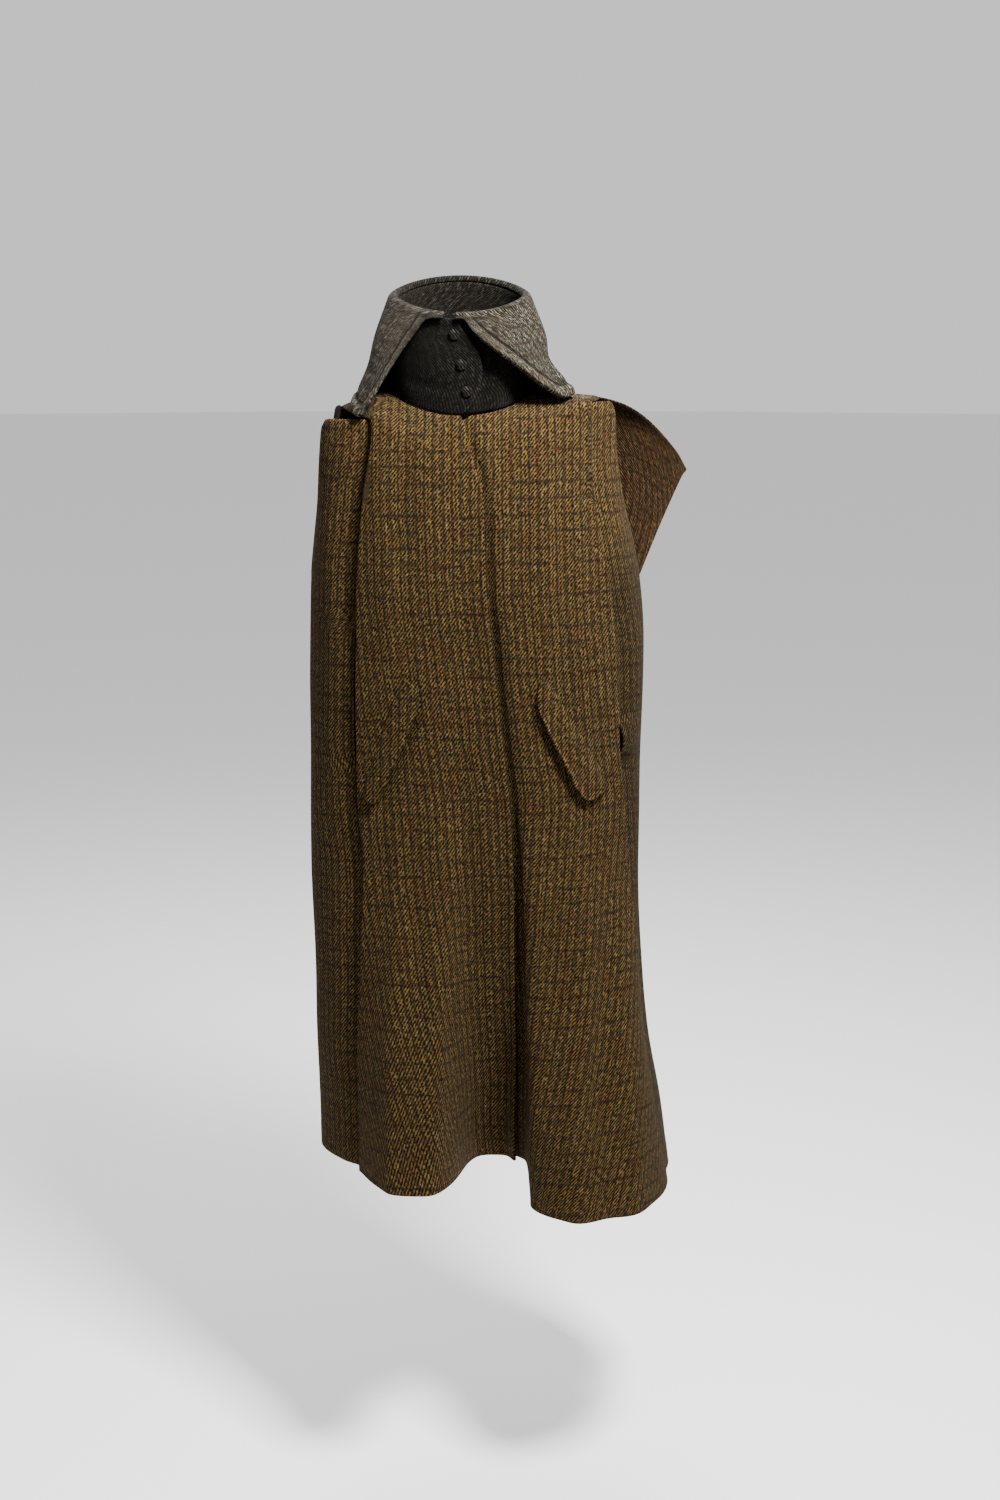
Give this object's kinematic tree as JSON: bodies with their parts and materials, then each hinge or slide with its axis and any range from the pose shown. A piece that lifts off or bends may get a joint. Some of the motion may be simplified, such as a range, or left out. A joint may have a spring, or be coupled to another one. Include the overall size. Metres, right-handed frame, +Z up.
{
  "type": "wool cape coat",
  "caption": "Long sleeveless cape coat in checked wool tweed with square shoulder wings, arm slits, slanted pocket flaps and a tall turned-down collar.",
  "frame": {"origin": "middle of the neck opening, level with the shoulder seams, where a figure carries the coat", "axes": "+Z up, -Y towards the front of the coat, +X towards the wearer's left"},
  "size_m": [0.5223, 0.4222, 1.2417],
  "materials": {
    "body_tweed": "brushed twill tweed in brown and ochre with a thin dark check and coloured flecks, matt",
    "collar_tweed": "grey-brown tweed with a faint brown check, matt",
    "button": "dark horn-like, softly polished"
  },
  "bodies": {
    "root": {"front_right": "body_tweed", "front_left": "body_tweed", "side_front_right": "body_tweed", "side_front_left": "body_tweed", "back": "body_tweed", "pocket_flap_right": "body_tweed", "pocket_flap_left": "body_tweed", "collar_stand": "collar_tweed", "collar_fall": "collar_tweed", "button_top": "button", "button_middle": "button", "button_bottom": "button"}
  },
  "joints": []
}
